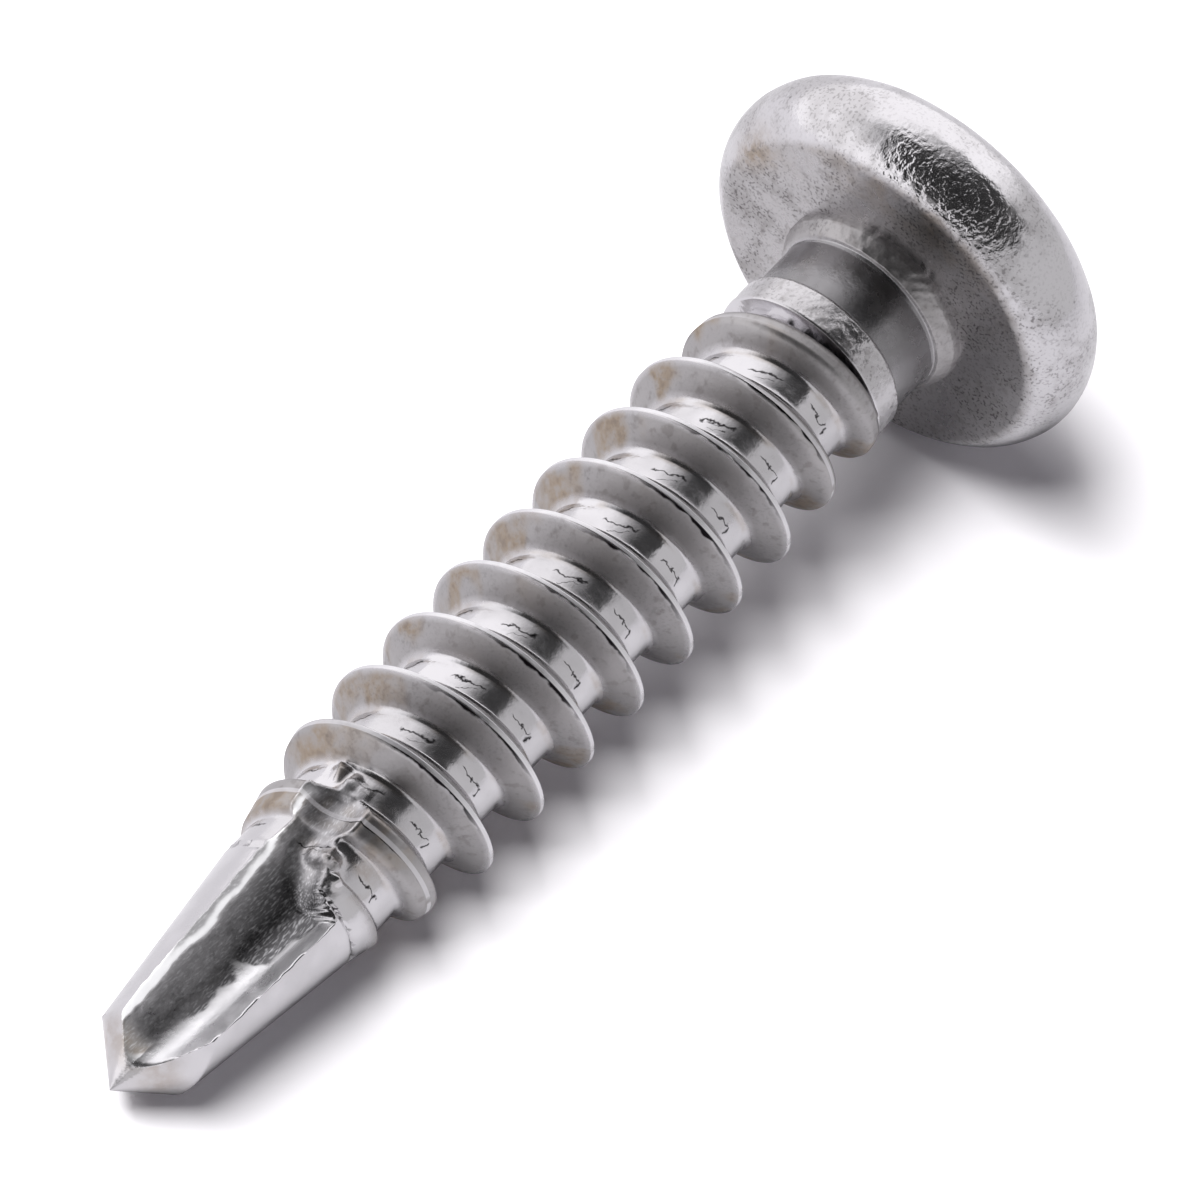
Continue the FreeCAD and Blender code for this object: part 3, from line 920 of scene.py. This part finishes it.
# One square at z 0 whose colour differs for the camera.
def addFloor():
    half = floor["size"] / 2
    mesh = bpy.data.meshes.new("floor")
    corners = [(-half, -half, 0), (half, -half, 0), (half, half, 0), (-half, half, 0)]
    mesh.from_pydata(corners, [], [(0, 1, 2, 3)])
    material, nodes, links = newMaterial("floor")
    path = nodes.new("ShaderNodeLightPath")
    plain, seen = nodes.new("ShaderNodeBsdfDiffuse"), nodes.new("ShaderNodeBsdfDiffuse")
    plain.inputs["Color"].default_value = floor["colour"]
    seen.inputs["Color"].default_value = floor["seen"]
    mix = nodes.new("ShaderNodeMixShader")
    out = nodes.new("ShaderNodeOutputMaterial")
    links.new(path.outputs["Is Camera Ray"], mix.inputs[0])
    links.new(plain.outputs[0], mix.inputs[1])
    links.new(seen.outputs[0], mix.inputs[2])
    links.new(mix.outputs[0], out.inputs[0])
    addStage("floor", material, mesh, True)


# what the metal mirrors; front angles in degrees run from -90 behind through 0 above to 90 in front
tent = {
    "radius": 0.15,                      # metres
    "colour": (0.995, 0.98, 1.0, 1),
    "softBox": 1.22,                     # level above and behind
    "wall": 0.62,                        # level low in front
    "wallFrom": (8, 42),
    "dark": (0.035, 0.05),               # level of the dark gap at its near and far end
    "gapFrom": ((-64, -22), (-42, 14)),  # its edges, softened between two front angles, near and far
    "gapTo": ((40, 56), (38, 43)),
    "farFrom": (-0.18, 0.34),            # along the screw, from near to far
    "gapEnd": (0.46, 0.60),
    "gapFoot": (0.12, 0.34),             # height where it begins
    "rise": (0, 89, 90),                 # degrees and rows
    "step": 3,                           # degrees between columns
}


# Brightness by direction: soft box level blended to the wall's by front angle, then to the dark
# gap's between its two soft edges.
def tentGlow(direction):
    t = tent
    front = np.degrees(np.arctan2(-direction[..., 1], direction[..., 2]))
    far = ease(direction[..., 0], *t["farFrom"])
    level = t["softBox"] + (t["wall"] - t["softBox"]) * ease(front, *t["wallFrom"])
    edges = zip(t["gapFrom"], t["gapTo"])
    nearGap, farGap = (ease(front, *start) * (1 - ease(front, *end)) for start, end in edges)
    gap = nearGap + (farGap - nearGap) * far
    gap = gap * (1 - ease(direction[..., 0], *t["gapEnd"])) * ease(direction[..., 2], *t["gapFoot"])
    dark = t["dark"][0] + (t["dark"][1] - t["dark"][0]) * far
    return level + (dark - level) * gap


# A dome of directions times its radius, with the glow on its points.
def addTent():
    t = tent
    rise, turn = np.radians(np.linspace(*t["rise"])), np.radians(np.arange(0, 360, t["step"]))
    rise, turn = np.meshgrid(rise, turn, indexing="ij")
    direction = np.stack([np.cos(rise) * np.cos(turn), np.cos(rise) * np.sin(turn), np.sin(rise)], -1)
    points = np.concatenate([direction.reshape(-1, 3), [[0, 0, 0], [0, 0, 1]]]) * t["radius"]
    quads, fans = turnedFaces(*rise.shape)
    topFan = fans[rise.shape[1]:]        # open below, where the floor lies
    mesh = bpy.data.meshes.new("tent")
    mesh.from_pydata(points.tolist(), [], quads.tolist() + topFan.tolist())
    glow = mesh.attributes.new("glow", "FLOAT", "POINT")
    levels = np.append(tentGlow(direction).ravel(), [1, t["softBox"]])
    glow.data.foreach_set("value", levels.astype(np.float32))
    material, nodes, links = newMaterial("tent")
    material.cycles.emission_sampling = "NONE"
    level = nodes.new("ShaderNodeAttribute")
    level.attribute_name = "glow"
    shader = nodes.new("ShaderNodeEmission")
    shader.inputs["Color"].default_value = t["colour"]
    out = nodes.new("ShaderNodeOutputMaterial")
    links.new(level.outputs["Fac"], shader.inputs["Strength"])
    links.new(shader.outputs[0], out.inputs[0])
    addStage("tent", material, mesh, False)


# the fill and the lamps
light = {
    "fillColour": (0.95, 0.92, 1.0, 1),
    "fill": 0.12,
    "lamps": {                           # place, width and height in metres, watts
        "key": ((-0.115, 0.100, 0.375), 0.22, 0.17, 1.93),
        "side": ((-0.03, 0.26, 0.30), 0.26, 0.20, 0.78),
    },
}


# World: white to the camera and the metal, and the fill's level for everything else.
def addWorld():
    world = bpy.data.worlds.new("world")
    bpy.context.scene.world = world
    world.use_nodes = True
    world.cycles.sampling_method = "NONE"
    nodes, links = world.node_tree.nodes, world.node_tree.links
    nodes.clear()
    path = nodes.new("ShaderNodeLightPath")
    seen, lit = nodes.new("ShaderNodeBackground"), nodes.new("ShaderNodeBackground")
    seen.inputs["Color"].default_value = (1, 1, 1, 1)
    lit.inputs["Color"].default_value = light["fillColour"]
    lit.inputs["Strength"].default_value = light["fill"]
    either = nodes.new("ShaderNodeMath")
    either.operation = "MAXIMUM"
    mix = nodes.new("ShaderNodeMixShader")
    out = nodes.new("ShaderNodeOutputWorld")
    links.new(path.outputs["Is Camera Ray"], either.inputs[0])
    links.new(path.outputs["Is Glossy Ray"], either.inputs[1])
    links.new(either.outputs[0], mix.inputs[0])
    links.new(lit.outputs[0], mix.inputs[1])
    links.new(seen.outputs[0], mix.inputs[2])
    links.new(mix.outputs[0], out.inputs[0])


# Soft lamps that aim at the origin and that the metal doesn't mirror.
def addLamps():
    for name, (place, width, height, watts) in light["lamps"].items():
        lamp = bpy.data.objects.new(name, bpy.data.lights.new(name, "AREA"))
        bpy.context.collection.objects.link(lamp)
        lamp.data.shape = "RECTANGLE"
        lamp.data.size = width
        lamp.data.size_y = height
        lamp.data.energy = watts
        lamp.location = place
        lamp.rotation_mode = "QUATERNION"
        lamp.rotation_quaternion = (-Vector(place)).to_track_quat("-Z", "Y")
        lamp.visible_glossy = False


addCamera()
addFloor()
addTent()
addWorld()
addLamps()
print("stage ready")

plating = zincSteel()
for piece in (addShaft(), addNeck(), addHead()):
    piece.data.materials.append(plating)
    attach(piece, "root")
    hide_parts("screw")
bpy.context.scene.view_settings.view_transform = "Standard"
